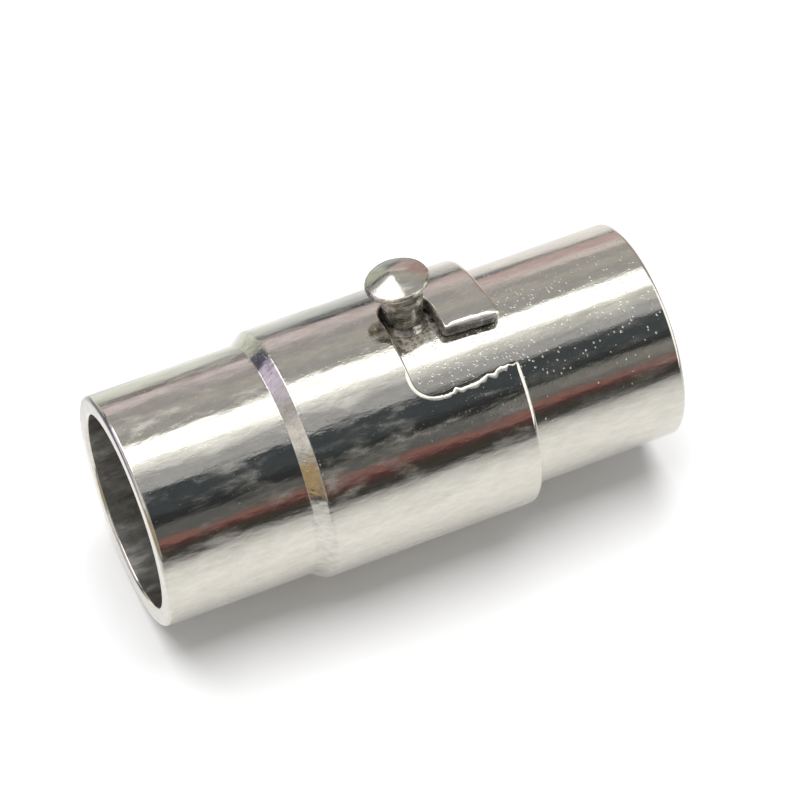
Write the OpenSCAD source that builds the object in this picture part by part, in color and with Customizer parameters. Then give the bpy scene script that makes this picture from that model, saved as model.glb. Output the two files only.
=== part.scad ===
// Magnetic tube clasp for a round cord, closed and locked.
// The clasp's axis runs along X, the socket half is at -X, the plug half at +X, and +Z is up.
// It lies on its sleeve: the origin is on that surface, below the middle of its length.
// All sizes are in millimetres.

/* [Overall] */
// Length of the closed clasp from mouth to mouth
clasp_len = 17.35; // [16.8:0.05:20]

/* [Socket half] */
// Thickness of the sleeve's wall around the plug
sleeve_wall = 0.45; // [0.35:0.05:0.8]
// Height of the shoulder, from the cord cup's surface up to the sleeve's
shoulder_step = 0.3; // [0.2:0.05:0.5]
// Length of the cord cup from its mouth to the shoulder
cup_len = 4.87; // [4:0.05:5.2]
// Length of the cone between the cup and the sleeve
shoulder_len = 0.44; // [0.2:0.02:0.6]
// Length of the sleeve from the shoulder's top to its rim
sleeve_len = 6.91; // [6.6:0.05:7.6]
// Thickness of the web between the cord bore and the magnet
socket_web = 0.6; // [0.3:0.05:1]

/* [Plug half] */
// Outer diameter of the plug. The sleeve and the cup follow it
plug_od = 7; // [6:0.05:9]
// Thickness of the plug's wall around the cord. The bore for the cord follows from it
plug_wall = 0.4; // [0.3:0.05:0.8]
// Radial running clearance between the plug and the sleeve
run_gap = 0.05; // [0.02:0.01:0.09]
// Thickness of the plug's metal on either side of the pin
pin_wall = 0.13; // [0.1:0.01:0.3]
// Thickness of the web between the pin and the cord bore
plug_web = 0.75; // [0.4:0.05:1]

/* [Magnets] */
// Diameter of the disc magnets
magnet_d = 5; // [4:0.1:5.6]
// Thickness of the disc magnets
magnet_t = 1.4; // [1:0.05:1.5]
// Distance between the plug's face and the bottom of the sleeve
face_gap = 0.1; // [0.05:0.01:0.2]
// Clearance around pieces that are glued or pressed in
seat_gap = 0.02; // [0.01:0.01:0.05]

/* [Slot] */
// Width of the slot's locking leg along the sleeve
slot_w = 1.58; // [1.5:0.02:1.8]
// Width of the tab between the locking leg and the rim
slot_lip = 1.72; // [1.5:0.02:2]
// Width of the slot's open leg around the sleeve
entry_w = 1.85; // [1.75:0.05:2.4]
// Angle by which each wall of the open leg draws in towards the rim, in degrees
entry_taper = 4; // [0:0.5:6]
// Turn of the pin from the locked end to the far wall of the open leg, in degrees
lock_turn = 35; // [33:1:46]
// Angle by which the locked pin leans back from upright, in degrees
pin_lean = 13.5; // [0:0.5:30]
// Clearance between the pin and the ends of the slot
pin_stop_gap = 0.05; // [0.03:0.01:0.1]
// Relief by which the round ends of the locking leg are cut wider than the leg
end_relief = 0.02; // [0.01:0.01:0.04]
// Size of the flat that breaks the tab's corner
tab_corner = 0.16; // [0.05:0.01:0.3]

/* [Pin] */
// Diameter of the pin where it enters the plug
pin_foot_d = 1.16; // [1:0.02:1.24]
// Diameter of the pin's neck under its head
pin_neck_d = 1.44; // [1.2:0.02:1.5]
// Depth of the pin in the plug
pin_depth = 0.7; // [0.4:0.05:1]
// Height of the neck above the plug
pin_neck_h = 1.42; // [1.2:0.02:2]
// Diameter of the pin's head
head_d = 2; // [1.7:0.02:2.2]
// Thickness of the head at its middle
head_t = 0.56; // [0.4:0.02:0.8]
// Height of the dome on the head
head_dome = 0.2; // [0.1:0.02:0.3]
// Radius on the head's upper edge
head_edge_r = 0.24; // [0.1:0.02:0.3]
// Radius on the head's lower edge
head_under_r = 0.1; // [0.04:0.02:0.14]

/* [Edges] */
// Radius on the outer edge of both mouths
mouth_outer_r = 0.14; // [0.05:0.01:0.18]
// Radius on the inner edge of both mouths
mouth_inner_r = 0.12; // [0.05:0.01:0.18]
// Radius on the outer edge of the sleeve's rim
rim_r = 0.1; // [0.04:0.01:0.15]

/* [Hidden] */
$fn = 96;
// Overshoot of a cutting shape past the surface that it cuts
over = 0.5;
sleeve_start = cup_len + shoulder_len;
rim_x = sleeve_start + sleeve_len;
// The sleeve runs around the plug, the cup is one step narrower, and both cups take the same cord
sleeve_bore_d = plug_od + 2 * run_gap;
sleeve_od = sleeve_bore_d + 2 * sleeve_wall;
cup_od = sleeve_od - 2 * shoulder_step;
cord_bore_d = plug_od - 2 * plug_wall;
// The pin stands in the middle of the locking leg's width
pin_x = rim_x - slot_lip - slot_w / 2;
// Each magnet lies in a pocket a little deeper than itself, so that its face is just below the metal
magnet_sink = 0.05;
pocket_t = magnet_t + seat_gap + magnet_sink;
pocket_d = magnet_d + 2 * seat_gap;
// The plug ends one pocket and one wall before the pin, and the sleeve's bore just beyond it
plug_face_x = pin_x - pin_foot_d / 2 - pin_wall - pocket_t;
sleeve_floor_x = plug_face_x - face_gap;
socket_bore_depth = sleeve_floor_x - pocket_t - socket_web;
plug_bore_x = pin_x + pin_foot_d / 2 + plug_web;
// Angles are measured around the axis from straight up, positive towards the front (-Y)
arc = 180 / PI / (sleeve_od / 2);
pin_r_in_slot = pin_foot_d / 2
    + (pin_neck_d - pin_foot_d) / 2 * (sleeve_od - plug_od) / 2 / pin_neck_h;
slot_r = slot_w / 2;
// The slot's cuts start inside the plug's surface and end outside the sleeve
cut_r = plug_od / 2 - over;
cut_t = (sleeve_od - plug_od) / 2 + 2 * over;
slot_play = slot_r - pin_r_in_slot - pin_stop_gap;
pin_angle = -pin_lean;
slot_end_angle = pin_angle + slot_play * arc;
slot_turn_angle = pin_angle + lock_turn - slot_play * arc;
entry_back_angle = slot_turn_angle + (slot_r - entry_w + slot_r) * arc;

// Puts a shape that was drawn around Z, from the socket's mouth at z = 0, in its place along X
module in_place() {
    translate([-clasp_len / 2, 0, sleeve_od / 2]) rotate([0, 90, 0]) children();
}

// Turns a shape drawn on local +X, so that it stands at the given angle around the axis
module at_angle(angle) {
    rotate([0, 0, 180 + angle]) children();
}

// What a round edge removes from a corner of a profile. side says which way the corner points
module corner_cut(corner, radius, side) {
    translate(corner) difference() {
        translate([side.x > 0 ? -radius : -over, side.y > 0 ? -radius : -over])
            square(radius + over);
        translate([-side.x * radius, -side.y * radius]) circle(radius);
    }
}

// Section of the socket half: cup, cone and sleeve, with the cord bore, pocket and sleeve bore
module socket_section() {
    difference() {
        polygon([
            [0, 0],
            [cup_od / 2, 0],
            [cup_od / 2, cup_len],
            [sleeve_od / 2, sleeve_start],
            [sleeve_od / 2, rim_x],
            [0, rim_x]
        ]);
        translate([0, -over]) square([cord_bore_d / 2, socket_bore_depth + over]);
        translate([0, sleeve_floor_x - pocket_t]) square([pocket_d / 2, pocket_t + over]);
        translate([0, sleeve_floor_x]) square([sleeve_bore_d / 2, rim_x]);
        corner_cut([cup_od / 2, 0], mouth_outer_r, [1, -1]);
        mirror([1, 0]) corner_cut([-cord_bore_d / 2, 0], mouth_inner_r, [1, -1]);
        corner_cut([sleeve_od / 2, rim_x], rim_r, [1, 1]);
    }
}

// A straight cut of the slot's width, from a distance past the pin's place out through the rim
module entry_cut(angle, taper, start) {
    at_angle(angle) translate([cut_r, 0, pin_x]) rotate([taper, 0, 0])
        translate([0, -slot_r, start]) cube([cut_t, slot_w, rim_x - pin_x - start + over]);
}

// A round cut of the slot's width through the sleeve's wall
module round_cut(angle) {
    at_angle(angle) translate([cut_r, 0, pin_x]) rotate([0, 90, 0])
        cylinder(r = slot_r + end_relief, h = cut_t);
}

// L-shaped slot: the locking leg around the sleeve and the open leg out through the rim
module slot() {
    at_angle(slot_end_angle) rotate_extrude(angle = slot_turn_angle - slot_end_angle)
        translate([cut_r, pin_x - slot_r])
            square([cut_t, slot_w]);
    round_cut(slot_end_angle);
    round_cut(slot_turn_angle);
    entry_cut(slot_turn_angle, entry_taper, 0);
    entry_cut(entry_back_angle, -entry_taper, slot_r / 2);
}

// Cuts a flat across the tab's corner, from the empty side of it
module tab_corner_cut() {
    reach = slot_r / 2;
    corner_y = slot_r * tan(entry_taper) - slot_r / cos(entry_taper);
    at_angle(entry_back_angle) translate([cut_r, corner_y, pin_x + slot_r]) rotate([45, 0, 0])
        translate([0, -reach, -reach]) cube([cut_t, 2 * reach, reach + tab_corner / sqrt(2)]);
}

module socket_half() {
    color("silver") in_place() difference() {
        rotate_extrude() socket_section();
        slot();
        tab_corner_cut();
    }
}

// Section of the plug half: a tube with a magnet pocket in its face and the cord bore at its mouth
module plug_section() {
    difference() {
        translate([0, plug_face_x]) square([plug_od / 2, clasp_len - plug_face_x]);
        translate([0, plug_face_x - over]) square([pocket_d / 2, pocket_t + over]);
        translate([0, plug_bore_x]) square([cord_bore_d / 2, clasp_len]);
        corner_cut([plug_od / 2, clasp_len], mouth_outer_r, [1, 1]);
        mirror([1, 0]) corner_cut([-cord_bore_d / 2, clasp_len], mouth_inner_r, [1, 1]);
    }
}

module plug_half() {
    color("gainsboro") in_place() difference() {
        rotate_extrude() plug_section();
        at_angle(pin_angle) translate([plug_od / 2 - pin_depth - seat_gap, 0, pin_x])
            rotate([0, 90, 0]) cylinder(d = pin_foot_d + 2 * seat_gap, h = pin_depth + over);
    }
}

module lock_pin() {
    color("whitesmoke") in_place() at_angle(pin_angle)
        translate([plug_od / 2, 0, pin_x]) rotate([0, 90, 0]) {
            translate([0, 0, -pin_depth]) cylinder(d = pin_foot_d, h = pin_depth);
            cylinder(d1 = pin_foot_d, d2 = pin_neck_d, h = pin_neck_h);
            translate([0, 0, pin_neck_h]) rotate_extrude() head_section();
        }
}

// Section of the head: a low dome with round edges
module head_section() {
    head_r = head_d / 2;
    dome_r = (head_r * head_r + head_dome * head_dome) / (2 * head_dome);
    intersection() {
        difference() {
            square([head_r, head_t]);
            corner_cut([head_r, head_t - head_dome / 2], head_edge_r, [1, 1]);
            corner_cut([head_r, 0], head_under_r, [1, -1]);
        }
        translate([0, head_t - dome_r]) circle(dome_r, $fn = 180);
    }
}

// A disc magnet whose inner face lies seat_gap above the bottom of its pocket
module magnet(x) {
    color("dimgray") in_place() translate([0, 0, x]) cylinder(d = magnet_d, h = magnet_t);
}

module socket_magnet() {
    magnet(sleeve_floor_x - pocket_t + seat_gap);
}

module plug_magnet() {
    magnet(plug_face_x + magnet_sink);
}

socket_half();
socket_magnet();
plug_half();
plug_magnet();
lock_pin();
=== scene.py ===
# %% [markdown]
# # A magnetic tube clasp in plated brass
# The clasp is two turned tubes that slide together. A small pin on the narrow tube stands in an
# L-shaped slot in the wide one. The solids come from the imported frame, and this file gives them
# their finish. A mirror shows every facet of a coarse mesh, so the three visible pieces are made
# again here as fine surfaces of the same shape and in the same place.

# %% Load the frame
import math

import bpy
import numpy as np
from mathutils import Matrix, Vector
from mathutils.geometry import delaunay_2d_cdt


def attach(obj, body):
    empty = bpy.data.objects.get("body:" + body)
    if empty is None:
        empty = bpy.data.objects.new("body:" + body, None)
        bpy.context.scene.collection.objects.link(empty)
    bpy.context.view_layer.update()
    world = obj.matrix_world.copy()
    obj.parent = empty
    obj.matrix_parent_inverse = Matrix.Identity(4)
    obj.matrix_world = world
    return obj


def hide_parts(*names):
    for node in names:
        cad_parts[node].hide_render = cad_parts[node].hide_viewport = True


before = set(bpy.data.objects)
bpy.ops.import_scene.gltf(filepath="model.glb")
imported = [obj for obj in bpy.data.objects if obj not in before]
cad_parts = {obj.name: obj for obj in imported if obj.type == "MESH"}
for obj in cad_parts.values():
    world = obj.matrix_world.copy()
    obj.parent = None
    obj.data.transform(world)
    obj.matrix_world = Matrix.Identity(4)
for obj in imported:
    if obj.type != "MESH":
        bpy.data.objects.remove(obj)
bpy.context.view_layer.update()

# %% [markdown]
# ## Sizes
# All sizes are in millimetres, measured along the axis from the left mouth, and are those of the
# solids. Angles run around the axis: 0 is straight up, and they grow towards the front.

# %% Sizes of the clasp
MM = 0.001
LENGTH = 17.35
AXIS_HEIGHT = 4.0
BORE_R = 3.1
CUP_R = 3.7
CUP_END = 4.87
SHOULDER_END = 5.31
SLEEVE_R = 4.0
SLEEVE_BORE_R = 3.55
RIM_X = 12.22
BORE_END = 5.36
POCKET_R = 2.52
POCKET_T = 1.47
SLEEVE_FLOOR = 7.43
PLUG_R = 3.5
PLUG_FACE = 7.53
PLUG_BORE_START = 11.04
PIN_X = 9.71
PIN_ANGLE = math.radians(-13.5)
SLOT_R = 0.79
SLOT_TAPER = math.radians(4.0)
SLOT_END = math.radians(-11.91) * SLEEVE_R
SLOT_TURN = math.radians(19.91) * SLEEVE_R
TAB_EDGE = 0.328
TURNS = 240
FINE = math.radians(9)


# %% [markdown]
# ## Paths with round corners
# Every piece of this clasp is a path carried around the axis, or along the slot. A turner breaks
# each corner with a small radius. So the helper below takes the corners and a radius for each, and
# gives points along the path and, at each point, the direction that leads straight out of the
# metal. The metal lies on the right-hand side of the path.

# %% Make a path with round corners
def rounded_path(corners, radii, spacing=0.4):
    """Points and outward directions along straight runs that are joined by arcs.

    At a corner that turns by an angle a, an arc of radius r starts r * tan(a / 2) before the
    corner. Along the arc the outward direction turns evenly from that of one run to the next.
    """
    corners = np.asarray(corners, float)
    points, normals = [], []
    start = corners[0]
    for i in range(1, len(corners)):
        run = corners[i] - corners[i - 1]
        run /= np.linalg.norm(run)
        left = np.array([-run[1], run[0]])
        last = i == len(corners) - 1
        if not last:
            after = corners[i + 1] - corners[i]
            after /= np.linalg.norm(after)
            turn = math.atan2(run[0] * after[1] - run[1] * after[0], run @ after)
            reach = radii[i] * math.tan(abs(turn) / 2)
        end = corners[i] if last else corners[i] - run * reach
        count = max(1, math.ceil(np.linalg.norm(end - start) / spacing))
        share = np.linspace(0, 1, count + 1)[:, None]
        points.append(start + (end - start) * share)
        normals.append(np.repeat(left[None], count + 1, 0))
        if not last:
            side = math.copysign(1, turn)
            centre = end + left * radii[i] * side
            steps = max(2, math.ceil(abs(turn) / FINE))
            a = np.linspace(0, turn, steps + 1)[:, None]
            out = left * np.cos(a) + np.array([-left[1], left[0]]) * np.sin(a)
            points.append(centre - out * radii[i] * side)
            normals.append(out)
            start = corners[i] + after * reach
    return np.concatenate(points), np.concatenate(normals)


# %% [markdown]
# ## Surfaces as grids
# A grid of points with rows and columns is cut into triangles in one step. Patches that meet are
# put together by merging points that lie in the same place, and each point keeps the exact
# direction of its surface, so that a mirror finish shows no facets.

# %% Cut a grid into triangles and join patches
def grid_triangles(rows, columns):
    """Two triangles for each cell (i, j) of a grid, corners going from j to j + 1, then to i + 1."""
    index = np.arange(rows * columns).reshape(rows, columns)
    a, b = index[:-1, :-1], index[:-1, 1:]
    c, d = index[1:, 1:], index[1:, :-1]
    return np.concatenate([np.stack([a, b, c], -1).reshape(-1, 3), np.stack([a, c, d], -1).reshape(-1, 3)])


def build_piece(name, patches, kinds=None):
    """One mesh object from patches of (points in mm, directions, triangles)."""
    points = np.concatenate([p.reshape(-1, 3) for p, n, t in patches]) * MM
    normals = np.concatenate([n.reshape(-1, 3) for p, n, t in patches])
    offsets = np.cumsum([0] + [p.reshape(-1, 3).shape[0] for p, n, t in patches[:-1]])
    triangles = np.concatenate([t + o for (p, n, t), o in zip(patches, offsets)])
    kind = np.concatenate([np.full(len(t), i) for i, (p, n, t) in enumerate(patches)])
    _, first, place = np.unique(np.round(points / 2e-8).astype(np.int64), axis=0,
                                return_index=True, return_inverse=True)
    place = place.reshape(-1)
    triangles = place[triangles]
    real = ((triangles[:, 0] != triangles[:, 1]) & (triangles[:, 1] != triangles[:, 2])
            & (triangles[:, 2] != triangles[:, 0]))
    triangles, kind = triangles[real], kind[real]
    points, normals = points[first], normals[first]
    used = np.unique(triangles)
    renumber = np.full(len(points), -1)
    renumber[used] = np.arange(len(used))
    mesh = bpy.data.meshes.new(name)
    mesh.from_pydata(points[used], [], renumber[triangles])
    if kinds is not None:
        mesh.polygons.foreach_set("material_index", np.asarray(kinds)[kind].astype(np.int32))
    mesh.polygons.foreach_set("use_smooth", np.ones(len(mesh.polygons), bool))
    mesh.normals_split_custom_set_from_vertices(normals[used])
    mesh.update()
    piece = bpy.data.objects.new(name, mesh)
    bpy.context.scene.collection.objects.link(piece)
    print(name, len(used), "points,", len(triangles), "triangles")
    return piece


# %% [markdown]
# ## Around the axis
# A lathe turns a profile around the axis. A point of the profile at distance x along the axis and
# r from it becomes a ring.

# %% Turn a profile around the axis
def around(x, r, angle):
    """Places (x, r, angle): x along the axis, then r times the direction at that angle."""
    x, r, angle = np.broadcast_arrays(x, r, angle)
    return np.stack([x - LENGTH / 2, -r * np.sin(angle), AXIS_HEIGHT + r * np.cos(angle)], -1)


def direction(along, outward, forward, angle):
    """The direction with these shares along the axis, away from it, and around it."""
    along, outward, forward, angle = np.broadcast_arrays(along, outward, forward, angle)
    return np.stack([along, -outward * np.sin(angle) - forward * np.cos(angle),
                     outward * np.cos(angle) - forward * np.sin(angle)], -1)


TURN_ANGLES = np.linspace(-math.pi, math.pi, TURNS + 1)


def lathe(corners, radii):
    """A profile of (x, r) corners with round corners, carried once around the axis."""
    path, out = rounded_path(corners, radii)
    points = around(path[:, :1], path[:, 1:], TURN_ANGLES)
    normals = direction(out[:, :1], out[:, 1:], 0.0, TURN_ANGLES)
    return points, normals, grid_triangles(len(path), TURNS + 1)


# %% [markdown]
# ## The slot's outline
# The sleeve's open edge is one closed line. It runs along the rim, in along the slot's lower
# wall, round the pin, out under the tab, and along the rim again. The line is drawn on the
# sleeve's surface laid flat: x along the axis, s around it. Both walls of the open leg draw in a
# little towards the rim.

# %% Draw the sleeve's open edge on the flat
HALF_TURN = math.pi * SLEEVE_R
LEG_CORNER_R = 0.6
TAB_CORNER_R = 0.18
RIM_CORNER_R = 0.15
wall_left = PIN_X - SLOT_R
wall_right = PIN_X + SLOT_R
lower = np.array([PIN_X + SLOT_R * math.sin(SLOT_TAPER), SLOT_TURN + SLOT_R * math.cos(SLOT_TAPER)])


def lower_wall(x):
    """The lower wall's place around the sleeve at x: a straight line that draws in to the rim."""
    return lower[1] - math.tan(SLOT_TAPER) * (x - lower[0])


def tab_wall(x):
    """The tab's edge at x, drawn in by the same angle from the other side."""
    return TAB_EDGE + math.tan(SLOT_TAPER) * (x - PIN_X)


edge_corners = [
    (RIM_X, HALF_TURN),
    (RIM_X, lower_wall(RIM_X)),
    (wall_left, lower_wall(wall_left)),
    (wall_left, SLOT_END - SLOT_R),
    (wall_right, SLOT_END - SLOT_R),
    (wall_right, tab_wall(wall_right)),
    (RIM_X, tab_wall(RIM_X)),
    (RIM_X, -HALF_TURN),
]
round_end = SLOT_R - 0.001
edge_line, edge_out = rounded_path(
    edge_corners, [0, RIM_CORNER_R, LEG_CORNER_R, round_end, round_end, TAB_CORNER_R, RIM_CORNER_R, 0],
    spacing=0.035)
print("open edge:", len(edge_line), "points")

# %% [markdown]
# ## File marks
# The open leg was filed by hand. Its edges wander by a few hundredths of a millimetre, in uneven
# steps, and each step catches the light at its own angle. So the marks move the edge back and also
# turn its outward direction.

# %% Make the file marks
FILED_FROM = 9.2
MARK_EASE = 0.3
LOWER_MARKS = (0.05, 0.03)
TAB_MARKS = (0.025, 0.015)
MARK_LEAN = 0.4
rng = np.random.default_rng(5)


def uneven(x, step):
    """Straight lines between random heights from 0 to 1 that stand one step apart."""
    knots = np.arange(8.0, 13.0, step)
    return np.interp(x, knots, rng.random(len(knots)))


x, s = edge_line[:, 0], edge_line[:, 1]
out_of_rim = np.clip((RIM_X - 0.02 - x) / 0.15, 0, 1)
on_lower = np.clip((x - FILED_FROM) / MARK_EASE, 0, 1) * out_of_rim * (s > 1.5) * (s < 4)
on_tab = np.clip((x - wall_right - 0.2) / MARK_EASE, 0, 1) * out_of_rim * (np.abs(s) < 1)
coarse = uneven(x, 0.19) - 0.5
fine = uneven(x, 0.07) - 0.5
marks = ((LOWER_MARKS[0] * coarse + LOWER_MARKS[1] * fine) * on_lower
         + (TAB_MARKS[0] * coarse + TAB_MARKS[1] * fine) * on_tab)
along = np.gradient(edge_line, axis=0)
length = np.maximum(np.linalg.norm(along, axis=1, keepdims=True), 1e-6)
along /= length
lean = np.gradient(marks)[:, None] / length * (length > 0.01)
marked_out = edge_out + along * np.clip(lean, -MARK_LEAN, MARK_LEAN)
marked_out /= np.linalg.norm(marked_out, axis=1, keepdims=True)

# %% [markdown]
# ## The edge's section
# Tumbling in a barrel rounds a cut edge unevenly: a wide soft curve first, then a tight one down
# into the cut. The wide curve is what catches the light as a bright line. It is thick along the
# tab and in the lower corner, thin beside the pin, and comes and goes along the filed wall. So
# the wide curve has its own radius at each point of the line, eased from one to the next. Where
# the file dug in, the tight curve is wider too. The tab's corner stands out a little past the rim.

# %% Carry the edge's section along the open edge
WALL_T = SLEEVE_R - SLEEVE_BORE_R
SPLIT = math.radians(22)
TIGHT_R = 0.08
FILED_TIGHT_R = 0.26
BORE_EDGE_R = 0.05
TAB_SOFT_R = 0.5
RIM_SOFT_R = 0.24
CORNER_SOFT_R = 0.12
LEG_CORNER_SOFT_R = 0.36
FILED_SOFT_R = 0.36
THIN_SOFT_R = 0.1
SOFT_REACH = 0.12
TAB_FLARE = 0.11
sharp = np.array([edge_corners[1], edge_corners[5], edge_corners[6]])
from_sharp = np.min(np.linalg.norm(edge_line[:, None] - sharp, axis=2), axis=1)
glint = np.clip((uneven(x, 0.13) - 0.35) / 0.25, 0, 1)
filed = FILED_SOFT_R * (0.25 + 1.1 * glint)
wanted = np.select(
    [x > RIM_X - 1e-6, on_tab > 0, (s > 1.3) & (x < 9.9), s > 1.5, s > -0.2],
    [RIM_SOFT_R, TAB_SOFT_R, LEG_CORNER_SOFT_R, filed, THIN_SOFT_R], THIN_SOFT_R)
wanted = np.where(from_sharp < 0.2, CORNER_SOFT_R, wanted)
burred = np.clip((uneven(x, 0.21) - 0.25) / 0.3, 0, 1) * on_lower
wanted_tight = TIGHT_R + (FILED_TIGHT_R - TIGHT_R) * burred
run = np.concatenate([[0], np.cumsum(np.linalg.norm(np.diff(edge_line, axis=0), axis=1))])
reach = np.where(np.isin(wanted, filed), 0.05, SOFT_REACH)
weight = np.exp(-((run[:, None] - run) / reach[:, None]) ** 2) * np.gradient(run)
soft = (weight @ wanted / weight.sum(1))[:, None]
tight = (weight @ wanted_tight / weight.sum(1))[:, None]
tilt = np.radians([0, 4, 8, 12, 17, 22, 32, 43, 55, 66, 78, 90])
first = np.minimum(tilt, SPLIT)
rest = np.maximum(tilt, SPLIT)
across = soft * np.sin(first) + tight * (np.sin(rest) - math.sin(SPLIT))
down = soft * (1 - np.cos(first)) + tight * (math.cos(SPLIT) - np.cos(rest))
full = across[:, -1:]
under = np.radians([90, 60, 30, 0])
even = np.ones_like(full)
section_back = np.hstack([full - across, 0 * even, BORE_EDGE_R * (1 - np.sin(under)) * even, full])
section_down = np.hstack([down, 0.6 * WALL_T * even, (WALL_T - BORE_EDGE_R * (1 - np.cos(under))) * even,
                          WALL_T * even])
section_out = np.concatenate([np.sin(tilt), [1.0], np.sin(under), [0.0]])
section_up = np.concatenate([np.cos(tilt), [0.0], -np.cos(under), [-1.0]])
flat_x = edge_line[:, :1] - edge_out[:, :1] * (section_back + marks[:, None])
flat_s = edge_line[:, 1:] - edge_out[:, 1:] * (section_back + marks[:, None])
near_tab = np.clip((s + 0.9) / 1.1, 0, 1) * (s < 1) * np.clip((x - RIM_X + 0.5) / 0.5, 0, 1)
flat_x += TAB_FLARE * (near_tab ** 2 * (3 - 2 * near_tab))[:, None]
edge_points = around(flat_x, SLEEVE_R - section_down, flat_s / SLEEVE_R)
edge_normals = direction(marked_out[:, :1] * section_out, section_up, marked_out[:, 1:] * section_out,
                         flat_s / SLEEVE_R)
CUT_COLUMN = 6
slot_rows = np.flatnonzero(x < RIM_X - 0.05)
first_row, last_row = slot_rows[0], slot_rows[-1]


def edge_part(rows, columns):
    """The part of the carried section in these rows and columns."""
    points = edge_points[rows, columns]
    return points, edge_normals[rows, columns], grid_triangles(*points.shape[:2])


rim_below = edge_part(slice(0, first_row + 1), slice(None))
rim_above = edge_part(slice(last_row, None), slice(None))
slot_edge = edge_part(slice(first_row, last_row + 1), slice(0, CUT_COLUMN + 1))
turn_row = np.flatnonzero(s > 1.5)[-1]
filed_wall = edge_part(slice(first_row, turn_row + 1), slice(CUT_COLUMN, None))
slot_wall = edge_part(slice(turn_row, last_row + 1), slice(CUT_COLUMN, None))


# %% [markdown]
# ## The sleeve's wall
# The wall between the shoulder and the open edge has a ragged outline, so no plain grid fits it.
# It is filled with a Delaunay triangulation on the flat, which is then rolled up twice, once for
# the outer surface and once for the bore.

# %% Fill the sleeve's wall on the flat and roll it up
WALL_START = 8.3
STEP = 0.16
seam_x = np.linspace(WALL_START, flat_x[0, 0], 26)[1:-1]
ring_s = TURN_ANGLES * SLEEVE_R
edge_ring = np.stack([flat_x[:, 0], flat_s[:, 0]], -1)
keep = np.concatenate([[True], np.linalg.norm(np.diff(edge_ring, axis=0), axis=1) > 1e-6])
edge_ring = edge_ring[keep]
outline = np.concatenate([
    edge_ring,
    np.stack([np.flip(seam_x), np.full(len(seam_x), -HALF_TURN)], -1),
    np.stack([np.full(TURNS + 1, WALL_START), ring_s], -1),
    np.stack([seam_x, np.full(len(seam_x), HALF_TURN)], -1),
])
inside_x, inside_s = np.meshgrid(np.arange(WALL_START + STEP, RIM_X, STEP),
                                 np.arange(-HALF_TURN + STEP, HALF_TURN, STEP))
inner = np.stack([inside_x.ravel(), inside_s.ravel()], -1)
inner[:, 1] += (np.arange(len(inner)) % 2) * 0.02
away = np.array([np.min(np.sum((outline - p) ** 2, 1)) for p in inner])
inner = inner[away > (0.55 * STEP) ** 2]
count = len(outline)
border = [(i, (i + 1) % count) for i in range(count)]
filled = delaunay_2d_cdt([Vector(p) for p in np.concatenate([outline, inner])], border,
                         [list(range(count))], 1, 1e-9)
flat = np.array([tuple(p) for p in filled[0]])
fill_triangles = np.array([t for t in filled[2] if len(t) == 3])
a, b, c = (flat[fill_triangles[:, k]] for k in range(3))
turned = (b[:, 0] - a[:, 0]) * (c[:, 1] - a[:, 1]) - (b[:, 1] - a[:, 1]) * (c[:, 0] - a[:, 0])
fill_triangles[turned > 0] = fill_triangles[turned > 0][:, ::-1]
print("wall fill:", len(flat), "points,", len(fill_triangles), "triangles")
roll = flat[:, 1] / SLEEVE_R
outer_wall = (around(flat[:, 0], SLEEVE_R, roll), direction(0.0, 1.0, 0.0, roll), fill_triangles)
bore_wall = (around(flat[:, 0], SLEEVE_BORE_R, roll), direction(0.0, -1.0, 0.0, roll),
             fill_triangles[:, ::-1])

# %% [markdown]
# ## The socket half
# It is one turned piece: the cord cup, the cone up to the sleeve, and the sleeve. Its bore is
# dull inside, because the plating bath hardly reaches into a narrow blind hole, and the walls of
# the cut are dull too, because no wheel reaches them. The cone was left rougher than the tubes.
# Along the filed lower wall the cut and the steep part of its rounding are painted almost black,
# a painted shade for the dark gap between the sleeve's edge and the plug.

# %% Build the socket half
bore_profile = [(BORE_END, 0), (BORE_END, BORE_R), (0.12, BORE_R)]
cup_profile = [(0.12, BORE_R), (0, BORE_R), (0, CUP_R), (CUP_END - 0.1, CUP_R)]
shoulder_profile = [(CUP_END - 0.1, CUP_R), (CUP_END, CUP_R), (SHOULDER_END, SLEEVE_R),
                    (SHOULDER_END + 0.1, SLEEVE_R)]
sleeve_profile = [(SHOULDER_END + 0.1, SLEEVE_R), (WALL_START, SLEEVE_R)]
pocket_profile = [(WALL_START, SLEEVE_BORE_R), (SLEEVE_FLOOR, SLEEVE_BORE_R), (SLEEVE_FLOOR, POCKET_R),
                  (SLEEVE_FLOOR - POCKET_T, POCKET_R), (SLEEVE_FLOOR - POCKET_T, 0)]
socket = build_piece("socket_shell", [
    lathe(bore_profile, [0, 0.2, 0]),
    lathe(cup_profile, [0, 0.12, 0.14, 0]),
    lathe(shoulder_profile, [0, 0.06, 0.12, 0]),
    lathe(sleeve_profile, [0, 0]),
    lathe(pocket_profile, [0, 0.05, 0.05, 0.05, 0]),
    rim_below,
    rim_above,
    slot_edge,
    filed_wall,
    slot_wall,
    outer_wall,
    bore_wall,
], kinds=[1, 0, 2, 0, 0, 0, 0, 0, 4, 3, 0, 0])
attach(socket, "socket")
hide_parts("socket_half")

# %% [markdown]
# ## The plug half
# A plain tube with a magnet pocket in its inner end and the second cord cup in its outer end.

# %% Build the plug half
plug_bore_profile = [(LENGTH - 0.12, BORE_R), (PLUG_BORE_START, BORE_R), (PLUG_BORE_START, 0)]
plug_profile = [
    (PLUG_FACE + POCKET_T, 0),
    (PLUG_FACE + POCKET_T, POCKET_R),
    (PLUG_FACE, POCKET_R),
    (PLUG_FACE, PLUG_R),
    (LENGTH, PLUG_R),
    (LENGTH, BORE_R),
    (LENGTH - 0.12, BORE_R),
]
plug = build_piece("plug_shell", [
    lathe(plug_profile, [0, 0.05, 0.05, 0.08, 0.14, 0.12, 0]),
    lathe(plug_bore_profile, [0, 0.2, 0]),
], kinds=[0, 1])
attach(plug, "plug")
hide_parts("plug_half")

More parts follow.
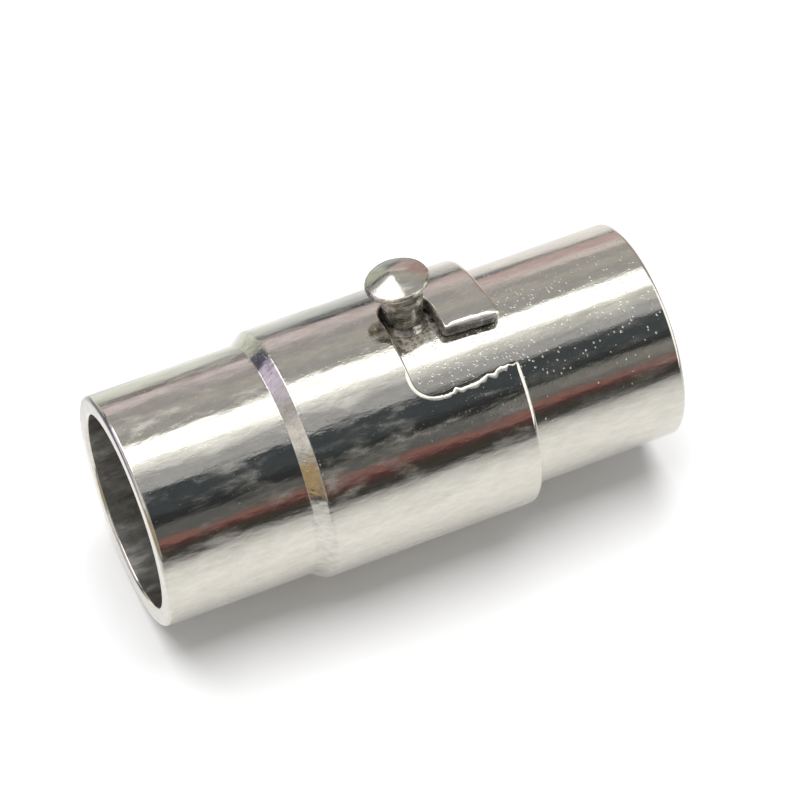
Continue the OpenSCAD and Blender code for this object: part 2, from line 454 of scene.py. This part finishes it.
# %% [markdown]
# ## The pin
# A short rivet whose neck widens a little under a domed head. A small fillet of solder runs round
# its foot. The dome is almost a blunt cone, so one side of it mirrors the soft light as a broad
# white field. The head was hammered on by hand: it sits to one side of the neck, leans a little,
# and its tip isn't in the middle. Its edge is as rough and dark as the neck.

# %% Build the pin
PIN_TURNS = 120
PIN_FOOT_R = 0.59
PIN_NECK_R = 0.77
PIN_NECK_H = 1.5
FILLET_R = 0.74
HEAD_R = 1.0
HEAD_EDGE = 1.68
HEAD_SLOPE = 0.36
TIP_ROUND = 0.55
TIP = (-0.12, -0.08)
HEAD_SHIFT = -0.08
HEAD_LEAN = 0.1
BEND_FROM = 1.0
BEND_OVER = 0.42
EDGE_WIDTH = 0.09

edge_lean = math.atan(HEAD_SLOPE / math.hypot(1, TIP_ROUND))
dome_foot = HEAD_EDGE + EDGE_WIDTH * math.sin(edge_lean)
dome_r = HEAD_R - EDGE_WIDTH * math.cos(edge_lean)
neck_line, neck_out = rounded_path(
    [(-0.4, 0), (-0.4, FILLET_R), (-0.02, FILLET_R), (0.14, PIN_FOOT_R), (1.1, PIN_FOOT_R + 0.08),
     (PIN_NECK_H, PIN_NECK_R), (PIN_NECK_H + 0.04, HEAD_R), (HEAD_EDGE, HEAD_R), (dome_foot, dome_r)],
    [0, 0.05, 0.03, 0.12, 0.5, 0.05, 0.05, 0.095, 0], spacing=0.06)
pin_foot = around(PIN_X, PLUG_R, PIN_ANGLE)
pin_up = direction(0.0, 1.0, 0.0, PIN_ANGLE)
pin_side = direction(0.0, 0.0, 1.0, PIN_ANGLE)
pin_along = np.array([1.0, 0.0, 0.0])
pin_turn = np.linspace(0, 2 * math.pi, PIN_TURNS + 1)


def stand(along, side, height, out_along, out_side, out_up):
    """Puts a shape on the pin's own axis, and lets its head shift and lean.

    From BEND_FROM up to the head, a point moves by HEAD_SHIFT and rises by HEAD_LEAN times its
    place along x. A surface that is sheared like this turns its normal against the lean.
    """
    bend = np.clip((height - BEND_FROM) / BEND_OVER, 0, 1)
    out_along = out_along - HEAD_LEAN * bend * out_up
    height = height + HEAD_LEAN * bend * along
    along = along + HEAD_SHIFT * bend
    points = (pin_foot + pin_along * along[..., None] + pin_side * side[..., None]
              + pin_up * height[..., None])
    normals = (pin_along * out_along[..., None] + pin_side * out_side[..., None]
               + pin_up * out_up[..., None])
    normals /= np.linalg.norm(normals, axis=-1, keepdims=True)
    return points, normals, grid_triangles(*along.shape)[:, ::-1]


def pin_lathe(line, out):
    """A profile of (height, radius) carried around the pin's own axis."""
    c, s = np.cos(pin_turn), np.sin(pin_turn)
    height, up = np.broadcast_arrays(line[:, :1], out[:, :1], c)[0:2]
    return stand(line[:, 1:] * c, line[:, 1:] * s, height, out[:, 1:] * c, out[:, 1:] * s, up)


def dome(share):
    """The head's top, a cone with a rounded tip: share is 1 at its rim and 0 at its tip.

    A point lies at tip + share (rim - tip). Its height is H (sqrt(1 + e^2) - sqrt(share^2 + e^2)).
    The normal is the cross product of the ways along share and along the turn.
    """
    c, s = np.cos(pin_turn), np.sin(pin_turn)
    share = share[:, None]
    along = TIP[0] + share * (dome_r * c - TIP[0])
    side = TIP[1] + share * (dome_r * s - TIP[1])
    height = dome_foot + HEAD_SLOPE * (math.hypot(1, TIP_ROUND) - np.hypot(share, TIP_ROUND)) + 0 * c
    fall = HEAD_SLOPE * share / np.hypot(share, TIP_ROUND)
    span = dome_r - TIP[0] * c - TIP[1] * s
    return stand(along, side, height, fall * c / span, fall * s / span, np.ones_like(height))


tall = int(np.argmax(neck_line[:, 0] >= PIN_NECK_H + 0.03)) + 1
pin = build_piece("pin_shell", [
    pin_lathe(neck_line[:tall], neck_out[:tall]),
    pin_lathe(neck_line[tall - 1:], neck_out[tall - 1:]),
    dome(np.linspace(1, 0, 60) ** 1.3),
], kinds=[0, 0, 1])
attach(pin, "plug")
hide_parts("lock_pin")


# %% [markdown]
# ## Plated metal
# Nickel on brass is a warm grey mirror. What tells it from a computer's perfect mirror is its
# relief: waves and streaks left by polishing, drawn out along the tubes, and on the plug a fine
# grain and pits that break highlights into sparks. One node group gives the height of all of
# these, and another gives haze and thin spots. The heights are real ones, in metres. A third group
# is the stain that soldering left on the plug round the pin.

# %% Helpers for node groups
def new_group(name, inputs, outputs):
    """A shader node group with these named inputs (with their values) and outputs."""
    group = bpy.data.node_groups.new(name, "ShaderNodeTree")
    for label, value in inputs.items():
        socket = group.interface.new_socket(label, in_out="INPUT", socket_type="NodeSocketFloat")
        socket.default_value = value
    for label, kind in outputs.items():
        group.interface.new_socket(label, in_out="OUTPUT", socket_type=kind)
    return group


def add_node(tree, kind, values=None, **settings):
    """A node with settings on itself and values on its input sockets."""
    node = tree.nodes.new(kind)
    for name, value in settings.items():
        setattr(node, name, value)
    for name, value in (values or {}).items():
        if isinstance(value, bpy.types.NodeSocket):
            tree.links.new(value, node.inputs[name])
        else:
            node.inputs[name].default_value = value
    return node


def math_node(tree, operation, a, b=0.0, c=0.0, clamp=False):
    """The output of one Math node."""
    node = add_node(tree, "ShaderNodeMath", {0: a, 1: b, 2: c}, operation=operation, use_clamp=clamp)
    return node.outputs[0]


def noise_node(tree, vector, scale, detail=2.0, roughness=0.5):
    """The factor of one noise."""
    values = {"Vector": vector, "Scale": scale, "Detail": detail, "Roughness": roughness}
    return add_node(tree, "ShaderNodeTexNoise", values).outputs["Fac"]


def ease_node(tree, value, start, end, low=0.0, high=1.0, curve="LINEAR"):
    """Goes from low, where the value is at start, to high, where it is at end."""
    values = {"Value": value, 1: start, 2: end, 3: low, 4: high}
    return add_node(tree, "ShaderNodeMapRange", values, interpolation_type=curve).outputs[0]


def mix_node(tree, share, first, second):
    """The first colour where share is 0, the second where it is 1."""
    return add_node(tree, "ShaderNodeMix", {0: share, 6: first, 7: second}, data_type="RGBA").outputs[2]


# %% The relief of polished and grained plating
relief = new_group("plating_relief", {"Waves": 6e-5, "Ripple": 9e-6, "Streaks": 3e-6, "Grain": 0.0,
                                      "Grain Scale": 9000.0, "Pits": 0.0}, {"Height": "NodeSocketFloat"})
given = relief.nodes.new("NodeGroupInput")
place = add_node(relief, "ShaderNodeTexCoord").outputs["Object"]
drawn_out = add_node(relief, "ShaderNodeMapping", {"Vector": place, "Scale": (0.3, 1.0, 1.0)}).outputs[0]
waves = noise_node(relief, drawn_out, 600.0, 2.0, 0.5)
ripple = noise_node(relief, drawn_out, 2400.0, 2.0, 0.55)
streaks = noise_node(relief, drawn_out, 7000.0, 2.0, 0.6)
grain = noise_node(relief, place, given.outputs["Grain Scale"], 2.5, 0.7)
sharp_grain = math_node(relief, "POWER", grain, 2.5)
cells = add_node(relief, "ShaderNodeTexVoronoi", {"Vector": place, "Scale": 9500.0}).outputs
cell = add_node(relief, "ShaderNodeSeparateColor", {0: cells["Color"]}).outputs
reach = math_node(relief, "MULTIPLY_ADD", noise_node(relief, place, 21000.0), 0.5, cells["Distance"])
reach = math_node(relief, "SUBTRACT", reach, math_node(relief, "MULTIPLY", cell[1], 0.2))
pit_mask = ease_node(relief, reach, 0.22, 0.46, 1.0, 0.0, "SMOOTHSTEP")
spot = add_node(relief, "ShaderNodeSeparateXYZ", {0: place}).outputs
pitted_above = ease_node(relief, spot["Z"], 0.0064, 0.0072)
pitted_inside = ease_node(relief, spot["X"], 0.0032, 0.0062, 0.65, 0.25)
share = math_node(relief, "MULTIPLY_ADD", pitted_above, pitted_inside, 0.04)
pit_mask = math_node(relief, "MULTIPLY", pit_mask, math_node(relief, "LESS_THAN", cell[0], share))
height = math_node(relief, "MULTIPLY", waves, given.outputs["Waves"])
height = math_node(relief, "MULTIPLY_ADD", ripple, given.outputs["Ripple"], height)
height = math_node(relief, "MULTIPLY_ADD", streaks, given.outputs["Streaks"], height)
height = math_node(relief, "MULTIPLY_ADD", sharp_grain, given.outputs["Grain"], height)
pit_depth = math_node(relief, "MULTIPLY", given.outputs["Pits"], -1.0)
height = math_node(relief, "MULTIPLY_ADD", pit_mask, pit_depth, height)
out = relief.nodes.new("NodeGroupOutput")
relief.links.new(height, out.inputs["Height"])

# %% The haze and tint of plating
skin = new_group("plating_skin", {"Haze": 0.02, "Haze Spread": 0.05, "Tint Spread": 0.1},
                 {"Roughness": "NodeSocketFloat", "Tint": "NodeSocketFloat"})
given = skin.nodes.new("NodeGroupInput")
place = add_node(skin, "ShaderNodeTexCoord").outputs["Object"]
drawn_out = add_node(skin, "ShaderNodeMapping", {"Vector": place, "Scale": (0.35, 1.0, 1.0)}).outputs[0]
clouds = noise_node(skin, drawn_out, 1700.0, 3.0, 0.6)
cloud_mask = ease_node(skin, clouds, 0.46, 0.68)
rough = math_node(skin, "MULTIPLY_ADD", cloud_mask, given.outputs["Haze Spread"], given.outputs["Haze"])
spots = noise_node(skin, drawn_out, 5000.0, 4.0, 0.7)
spot_mask = ease_node(skin, spots, 0.35, 0.68)
tint = math_node(skin, "MULTIPLY", spot_mask, given.outputs["Tint Spread"])
out = skin.nodes.new("NodeGroupOutput")
skin.links.new(rough, out.inputs["Roughness"])
skin.links.new(tint, out.inputs["Tint"])

# %% The stain of solder round the pin
stain = new_group("solder_stain", {}, {"Mask": "NodeSocketFloat", "Colour": "NodeSocketColor"})
place = add_node(stain, "ShaderNodeTexCoord").outputs["Object"]
foot = tuple(float(v) * MM for v in pin_foot)
from_pin = add_node(stain, "ShaderNodeVectorMath", {0: place, 1: foot}, operation="DISTANCE").outputs["Value"]
ragged = math_node(stain, "MULTIPLY_ADD", noise_node(stain, place, 3000.0), 0.0009, from_pin)
mask = ease_node(stain, ragged, 0.00135, 0.00155, 1.0, 0.0)
blotches = ease_node(stain, noise_node(stain, place, 4200.0, 3.0, 0.7), 0.38, 0.62)
brown = mix_node(stain, blotches, (0.05, 0.042, 0.03, 1), (0.5, 0.46, 0.38, 1))
out = stain.nodes.new("NodeGroupOutput")
stain.links.new(mask, out.inputs["Mask"])
stain.links.new(brown, out.inputs["Colour"])


# %% Make a plated finish
def plated(name, colour, dark, relief_values, skin_values, metallic=1.0):
    """Metal whose relief and haze come from the two groups, with the tint mixing two colours."""
    material = bpy.data.materials.new(name)
    material.use_nodes = True
    tree = material.node_tree
    shader = tree.nodes["Principled BSDF"]
    shader.inputs["Metallic"].default_value = metallic
    height_group = add_node(tree, "ShaderNodeGroup", relief_values, node_tree=relief)
    skin_group = add_node(tree, "ShaderNodeGroup", skin_values, node_tree=skin)
    tinted = mix_node(tree, skin_group.outputs["Tint"], (*colour, 1), (*dark, 1))
    bump = add_node(tree, "ShaderNodeBump", {"Height": height_group.outputs["Height"], "Strength": 1.0,
                                             "Distance": 1.0})
    tree.links.new(tinted, shader.inputs["Base Color"])
    tree.links.new(skin_group.outputs["Roughness"], shader.inputs["Roughness"])
    tree.links.new(bump.outputs[0], shader.inputs["Normal"])
    return material


def stained(material):
    """Lays the solder's stain over a finish: there the metal is brown, rough and partly matt."""
    tree = material.node_tree
    shader = tree.nodes["Principled BSDF"]
    group = add_node(tree, "ShaderNodeGroup", node_tree=stain).outputs
    clean = shader.inputs["Base Color"].links[0].from_socket
    smooth = shader.inputs["Roughness"].links[0].from_socket
    colour = mix_node(tree, group["Mask"], clean, group["Colour"])
    tree.links.new(colour, shader.inputs["Base Color"])
    tree.links.new(math_node(tree, "MULTIPLY_ADD", group["Mask"], 0.25, smooth), shader.inputs["Roughness"])
    tree.links.new(math_node(tree, "MULTIPLY_ADD", group["Mask"], -0.8, 1.0), shader.inputs["Metallic"])


NICKEL = (0.72, 0.695, 0.625)
NICKEL_DARK = (0.46, 0.44, 0.39)
polished = plated("polished_nickel", NICKEL, NICKEL_DARK,
                  {"Waves": 2.6e-5, "Ripple": 7e-6, "Streaks": 2.2e-6, "Grain": 6e-7, "Grain Scale": 16000.0,
                   "Pits": 1e-6},
                  {"Haze": 0.03, "Haze Spread": 0.28, "Tint Spread": 0.4})
grained = plated("grained_nickel", NICKEL, NICKEL_DARK,
                 {"Waves": 1.8e-5, "Ripple": 5e-6, "Streaks": 1.6e-6, "Grain": 1.4e-6, "Grain Scale": 15000.0,
                  "Pits": 4e-6},
                 {"Haze": 0.07, "Haze Spread": 0.11, "Tint Spread": 0.4})
stained(grained)
pin_finish = plated("pin_nickel", NICKEL, NICKEL_DARK,
                    {"Waves": 4e-5, "Ripple": 8e-6, "Streaks": 2e-6, "Grain": 1.5e-6, "Grain Scale": 9000.0,
                     "Pits": 1e-6},
                    {"Haze": 0.06, "Haze Spread": 0.14, "Tint Spread": 0.5})
neck_finish = plated("neck_nickel", (0.62, 0.59, 0.52), (0.07, 0.06, 0.045),
                     {"Waves": 1e-4, "Ripple": 6e-5, "Streaks": 1e-5, "Grain": 3e-6, "Grain Scale": 7000.0,
                      "Pits": 3e-6},
                     {"Haze": 0.14, "Haze Spread": 0.2, "Tint Spread": 1.0}, metallic=0.75)
shoulder_finish = plated("shoulder_nickel", NICKEL, (0.4, 0.38, 0.36),
                         {"Waves": 5e-5, "Ripple": 1.3e-5, "Streaks": 4e-6, "Grain": 2e-6,
                          "Grain Scale": 9000.0, "Pits": 3e-6},
                         {"Haze": 0.08, "Haze Spread": 0.2, "Tint Spread": 0.6})
cut_finish = plated("cut_wall", (0.6, 0.58, 0.54), (0.05, 0.045, 0.04),
                    {"Waves": 8e-5, "Ripple": 2e-5, "Streaks": 9e-6, "Grain": 5e-6, "Grain Scale": 9000.0,
                     "Pits": 3e-6},
                    {"Haze": 0.25, "Haze Spread": 0.25, "Tint Spread": 1.0}, metallic=0.7)
# Painted shade: a near-black copy of the cut wall's finish, laid on the filed lower wall to stand in for the
# shade in the gap between the sleeve's edge and the plug.
painted_shade_filed_finish = plated("filed_wall", (0.1, 0.095, 0.09), (0.02, 0.018, 0.016),
                      {"Waves": 8e-5, "Ripple": 2e-5, "Streaks": 9e-6, "Grain": 5e-6, "Grain Scale": 9000.0,
                       "Pits": 3e-6},
                      {"Haze": 0.25, "Haze Spread": 0.25, "Tint Spread": 1.0}, metallic=0.8)
dull_bore = plated("dull_bore", (0.62, 0.61, 0.57), (0.34, 0.335, 0.315),
                   {"Waves": 5e-5, "Ripple": 1.2e-5, "Streaks": 4e-6, "Grain": 3e-6, "Grain Scale": 7000.0,
                    "Pits": 1e-6},
                   {"Haze": 0.3, "Haze Spread": 0.2, "Tint Spread": 0.9})
magnet_finish = plated("magnet_nickel", (0.6, 0.59, 0.56), (0.4, 0.39, 0.37),
                       {"Waves": 8e-6, "Ripple": 1e-6, "Streaks": 1e-6, "Grain": 6e-7,
                        "Grain Scale": 6000.0, "Pits": 0.0},
                       {"Haze": 0.12, "Haze Spread": 0.1, "Tint Spread": 0.3})

# %% Put the finishes on the pieces
# The socket's last finish is the painted shade of the filed lower wall.
for finish in (polished, dull_bore, shoulder_finish, cut_finish, painted_shade_filed_finish):
    socket.data.materials.append(finish)
for finish in (grained, dull_bore):
    plug.data.materials.append(finish)
for finish in (neck_finish, pin_finish):
    pin.data.materials.append(finish)
for node in ("socket_magnet", "plug_magnet"):
    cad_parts[node].data.materials.clear()
    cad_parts[node].data.materials.append(magnet_finish)

# %% [markdown]
# ## The studio
# Polished metal shows only what stands around it, so the things around it are the look. A tube
# mirrors a thin slice of the room, which runs from the table behind it, up the wall, over the
# soft box overhead and down to the viewer's side. The room is four such slices: the middle, half
# left, far left and right. Each is a list of plain surfaces with soft gaps. The cup, the sleeve and
# the plug mirror neighbouring parts of the middle slice, and a few surfaces hang in one part only.
# Only mirror rays see all this: what the camera and the table see is plain and pale.

# %% List what stands in the room
# Each surface has where it starts and ends, in degrees from straight up towards the viewer, and
# its brightness, as one number for grey or as red, green and blue.
MIDDLE = [
    ("far end of the table", -180, -95, 0.8),
    ("gap behind the table", -92, -90, 0.1),
    ("rosy wall", -82, -73, (0.8, 0.71, 0.74)),
    ("grey wall", -67, -56, (0.46, 0.44, 0.45)),
    ("pale strip", -49, -44, (0.53, 0.52, 0.5)),
    ("grey ceiling", -38, -27.3, 0.45),
    ("soft box", -22, -6, 2.2),
    ("white cloth beside it", -3, -2, 1.25),
    ("grey ceiling", 11, 23, (0.47, 0.48, 0.5)),
    ("dark side of the room", 25.5, 44, (0.07, 0.08, 0.09)),
    ("darkest corner", 50, 55, (0.04, 0.043, 0.046)),
    ("grey board", 60, 69, 0.145),
    ("red edge of the board", 73, 75, (0.3, 0.15, 0.135)),
    ("its red side", 78.5, 80, (0.1, 0.05, 0.05)),
    ("dark floor", 83, 90, (0.062, 0.057, 0.05)),
    ("near end of the table", 94, 180, 0.7),
]
HALF_LEFT = [
    ("far end of the table", -180, -95, 0.8),
    ("green-grey wall", -90, -76, (0.58, 0.6, 0.52)),
    ("dark moulding", -72, -69, 0.16),
    ("pale wall", -63, -56, 0.5),
    ("wide soft box", -50, -3, 2.2),
    ("grey ceiling", 8, 90, 0.4),
    ("near end of the table", 94, 180, 0.7),
]
FAR_LEFT = [
    ("far end of the table", -180, -95, 0.75),
    ("dark corner", -90, -71, (0.13, 0.13, 0.19)),
    ("lavender cloth", -62, -40, (0.85, 0.76, 0.98)),
    ("grey wall", -26, -6, (0.54, 0.52, 0.53)),
    ("pale wall", 8, 34, (0.9, 0.87, 0.85)),
    ("grey edge", 45, 48, 0.5),
    ("brass tray", 52, 92, (0.5, 0.37, 0.21)),
    ("near end of the table", 98, 180, 0.75),
]
RIGHT = [
    ("far end of the table", -180, -95, 0.75),
    ("tan wall", -90, -84, (0.5, 0.42, 0.38)),
    ("red curtain", -78, -58, (0.5, 0.35, 0.34)),
    ("tan wall", -52, -47, (0.5, 0.46, 0.42)),
    ("grey screen", -42, -24, 0.36),
    ("white board", -13, 90, 1.5),
    ("near end of the table", 96, 180, 0.8),
]

# What hangs only in a part of the middle slice: the part, its angle, the angles to either side up
# to which it is full and beyond which it ends, and its colour.
HUNG = [
    ("beside the sleeve", -89, 4, 8, (0.55, 0.5, 0.47)),
    ("beside the sleeve", -27, 1, 5, (0.45, 0.45, 0.43)),
    ("cup", -86, 1.5, 5, (0.28, 0.25, 0.235)),
    ("plug", 62, 4, 9, (0.26, 0.26, 0.245)),
    ("plug", -81, 4, 8, (0.67, 0.5, 0.5)),
    ("plug", -68, 1.5, 5, (0.82, 0.75, 0.7)),
    ("plug", 3.5, 2, 7, (0.68, 0.68, 0.65)),
]


def fill_ramp(ramp, stops):
    """Sets a colour ramp's stops from pairs of place, from 0 to 1, and colour."""
    while len(ramp.elements) > 1:
        ramp.elements.remove(ramp.elements[-1])
    for i, (at, colour) in enumerate(stops):
        stop = ramp.elements[0] if i == 0 else ramp.elements.new(at)
        stop.position = at
        stop.color = (*colour, 1) if isinstance(colour, tuple) else (colour, colour, colour, 1)


def slice_of_room(tree, at, surfaces):
    """A colour ramp over the angle that holds each surface from its start to its end."""
    ramp = add_node(tree, "ShaderNodeValToRGB", {0: at})
    fill_ramp(ramp.color_ramp, [(angle / 360 + 0.5, colour)
                                for _, start, end, colour in surfaces for angle in (start, end)])
    return ramp.outputs[0]


# %% Make the room
world = bpy.data.worlds.new("studio")
bpy.context.scene.world = world
world.use_nodes = True
tree = world.node_tree
towards = add_node(tree, "ShaderNodeTexCoord").outputs["Generated"]
parts = add_node(tree, "ShaderNodeSeparateXYZ", {0: towards}).outputs
front = math_node(tree, "MULTIPLY", parts["Y"], -1.0)
angle = math_node(tree, "ARCTAN2", front, parts["Z"])
at = math_node(tree, "MULTIPLY_ADD", angle, 1 / (2 * math.pi), 0.5)
slices = [slice_of_room(tree, at, surfaces) for surfaces in (MIDDLE, HALF_LEFT, FAR_LEFT, RIGHT)]


def hang(slice_colour, share_along, centre, inner, outer, colour):
    """Hangs one more surface in a slice, around an angle in degrees, for a part of its width."""
    off = math_node(tree, "ABSOLUTE", math_node(tree, "SUBTRACT", angle, math.radians(centre)))
    share = ease_node(tree, off, math.radians(inner), math.radians(outer), 1.0, 0.0)
    share = math_node(tree, "MULTIPLY", share, share_along)
    return mix_node(tree, share, slice_colour, (*colour, 1))


def blend_slices(first, second, value, start, end):
    """The first slice up to start, the second from end on, with a soft seam between them."""
    return mix_node(tree, ease_node(tree, value, start, end, curve="SMOOTHSTEP"), first, second)


slant = ease_node(tree, front, -0.8, -0.34, -0.16, -0.07)
slanted = math_node(tree, "ADD", parts["X"], slant)
from_sleeve = math_node(tree, "ABSOLUTE", math_node(tree, "SUBTRACT", parts["X"], 0.225))
beside_sleeve = ease_node(tree, from_sleeve, 0.035, 0.06)
for_cup = ease_node(tree, parts["X"], 0.19, 0.21, 1.0, 0.0)
for_plug = ease_node(tree, parts["X"], 0.255, 0.285)
middle = slices[0]
for share, centre, inner, outer, colour in HUNG:
    along = {"beside the sleeve": beside_sleeve, "cup": for_cup, "plug": for_plug}[share]
    middle = hang(middle, along, centre, inner, outer, colour)
reflected = blend_slices(middle, slices[1], slanted, -0.02, -0.12)
reflected = blend_slices(reflected, slices[2], parts["X"], -0.36, -0.46)
reflected = blend_slices(reflected, slices[3], parts["X"], 0.35, 0.45)
rays = add_node(tree, "ShaderNodeLightPath").outputs
plain = mix_node(tree, rays["Is Camera Ray"], (0.42, 0.42, 0.425, 1), (0.97, 0.97, 0.97, 1))
seen = mix_node(tree, rays["Is Glossy Ray"], plain, reflected)
tree.links.new(seen, tree.nodes["Background"].inputs["Color"])
world.cycles.sampling_method = "NONE"

# %% [markdown]
# ## The table
# A sheet of matt white paper. In the metal it is seen at a low angle, where a painted shade darkens
# it with distance until it fades into the room. Behind the clasp it is covered by cloths, green-grey
# on the left, darker in the middle and pale on the right, which the same painted shade makes darker
# with distance. Close under the clasp the paper has a painted glow that only mirror rays see: it
# stands in for light that the metal throws back.

# %% Lay the table
table_mesh = bpy.data.meshes.new("table")
REACH = 1.2
table_mesh.from_pydata([(-REACH, -REACH, 0), (REACH, -REACH, 0), (REACH, REACH, 0), (-REACH, REACH, 0)], [],
                       [(0, 1, 2, 3)])
table = bpy.data.objects.new("table", table_mesh)
bpy.context.scene.collection.objects.link(table)
paper = bpy.data.materials.new("white_paper")
paper.use_nodes = True
tree = paper.node_tree
shader = tree.nodes["Principled BSDF"]
shader.inputs["Roughness"].default_value = 0.9
shader.inputs["Specular IOR Level"].default_value = 0.1
shader.inputs["Emission Strength"].default_value = 1.0
NEAR, FAR = 0.006, 0.1
PAINTED_BOUNCE_GLOW = 0.23
place = add_node(tree, "ShaderNodeTexCoord").outputs["Object"]
distance = add_node(tree, "ShaderNodeVectorMath", {0: place}, operation="LENGTH").outputs["Value"]
fall = ease_node(tree, distance, NEAR, FAR)
# Painted shade: for mirror rays the paper gets darker with distance from the clasp, standing in for paper
# that is less lit further away, until it meets the room's dark floor.
fade = add_node(tree, "ShaderNodeValToRGB", {0: fall})
fill_ramp(fade.color_ramp, [(0.0, 0.74), (0.07, 0.69), (0.12, 0.63), (0.19, 0.53), (0.47, 0.28), (1.0, 0.06)])
spot = add_node(tree, "ShaderNodeSeparateXYZ", {0: place}).outputs
side = math_node(tree, "DIVIDE", spot["X"], distance)
side = ease_node(tree, side, -0.6, 0.5)
cloths = add_node(tree, "ShaderNodeValToRGB", {0: side})
fill_ramp(cloths.color_ramp, [(0.12, (0.15, 0.15, 0.2)), (0.2, (0.6, 0.63, 0.54)), (0.5, (0.57, 0.59, 0.54)),
                              (0.62, (0.53, 0.55, 0.53)), (0.76, (0.44, 0.46, 0.47)),
                              (0.84, (0.52, 0.52, 0.52)), (0.93, (0.7, 0.67, 0.66))])
from_dark = math_node(tree, "ABSOLUTE", math_node(tree, "SUBTRACT", side, 0.76))
# Painted shade: with distance the cloths are mixed towards dark grey, most in the dark middle.
dim = math_node(tree, "MULTIPLY", ease_node(tree, fall, 0.18, 0.9, 0.0, 0.9),
                ease_node(tree, from_dark, 0.05, 0.15, 1.0, 0.4))
dimmed = mix_node(tree, dim, cloths.outputs[0], (0.12, 0.12, 0.13, 1))
behind = ease_node(tree, fall, 0.03, 0.2)
far_side = ease_node(tree, spot["Y"], 0.0, 0.01)
cloth = math_node(tree, "MULTIPLY", behind, far_side)
reflected = mix_node(tree, cloth, fade.outputs[0], dimmed)
glossy = add_node(tree, "ShaderNodeLightPath").outputs["Is Glossy Ray"]
colour = mix_node(tree, glossy, (0.9, 0.9, 0.9, 1), reflected)
tree.links.new(colour, shader.inputs["Base Color"])
squeezed = add_node(tree, "ShaderNodeMapping", {"Vector": place, "Scale": (0.3, 1.0, 1.0)}).outputs[0]
beside = add_node(tree, "ShaderNodeVectorMath", {0: squeezed}, operation="LENGTH").outputs["Value"]
# Painted glow: close under the clasp the paper glows for mirror rays only, standing in for light that the
# metal throws back onto it.
close = ease_node(tree, beside, 0.002, 0.009, PAINTED_BOUNCE_GLOW, 0.0, "SMOOTHSTEP")
painted_bounce_glow = math_node(tree, "MULTIPLY", close, glossy)
tree.links.new(painted_bounce_glow, shader.inputs["Emission Color"])
table_mesh.materials.append(paper)

# %% Hang the soft light
lamp_data = bpy.data.lights.new("soft_overhead", "AREA")
lamp_data.shape = "SQUARE"
lamp_data.size = 0.5
lamp_data.energy = 3.7
lamp = bpy.data.objects.new("soft_overhead", lamp_data)
bpy.context.scene.collection.objects.link(lamp)
LEAN = math.radians(12)
lamp.location = (0.0, 0.5 * math.sin(LEAN), 0.5 * math.cos(LEAN))
lamp.rotation_euler = (-LEAN, 0, 0)
lamp.visible_glossy = False

# %% [markdown]
# ## The camera
# It stands in front of the socket's mouth, a little to the left, and looks down at 53 degrees
# with a long lens.

# %% Place the camera
camera_data = bpy.data.cameras.new("camera")
camera_data.sensor_width = 36
camera_data.lens = 156.06
camera_data.clip_start = 0.005
camera_data.clip_end = 10
camera = bpy.data.objects.new("camera", camera_data)
camera.location = (-0.02541, -0.05826, 0.09036)
camera.rotation_euler = (math.radians(36.66), 0, math.radians(-24.0))
bpy.context.scene.collection.objects.link(camera)
bpy.context.scene.camera = camera
bpy.context.scene.view_settings.view_transform = "Standard"
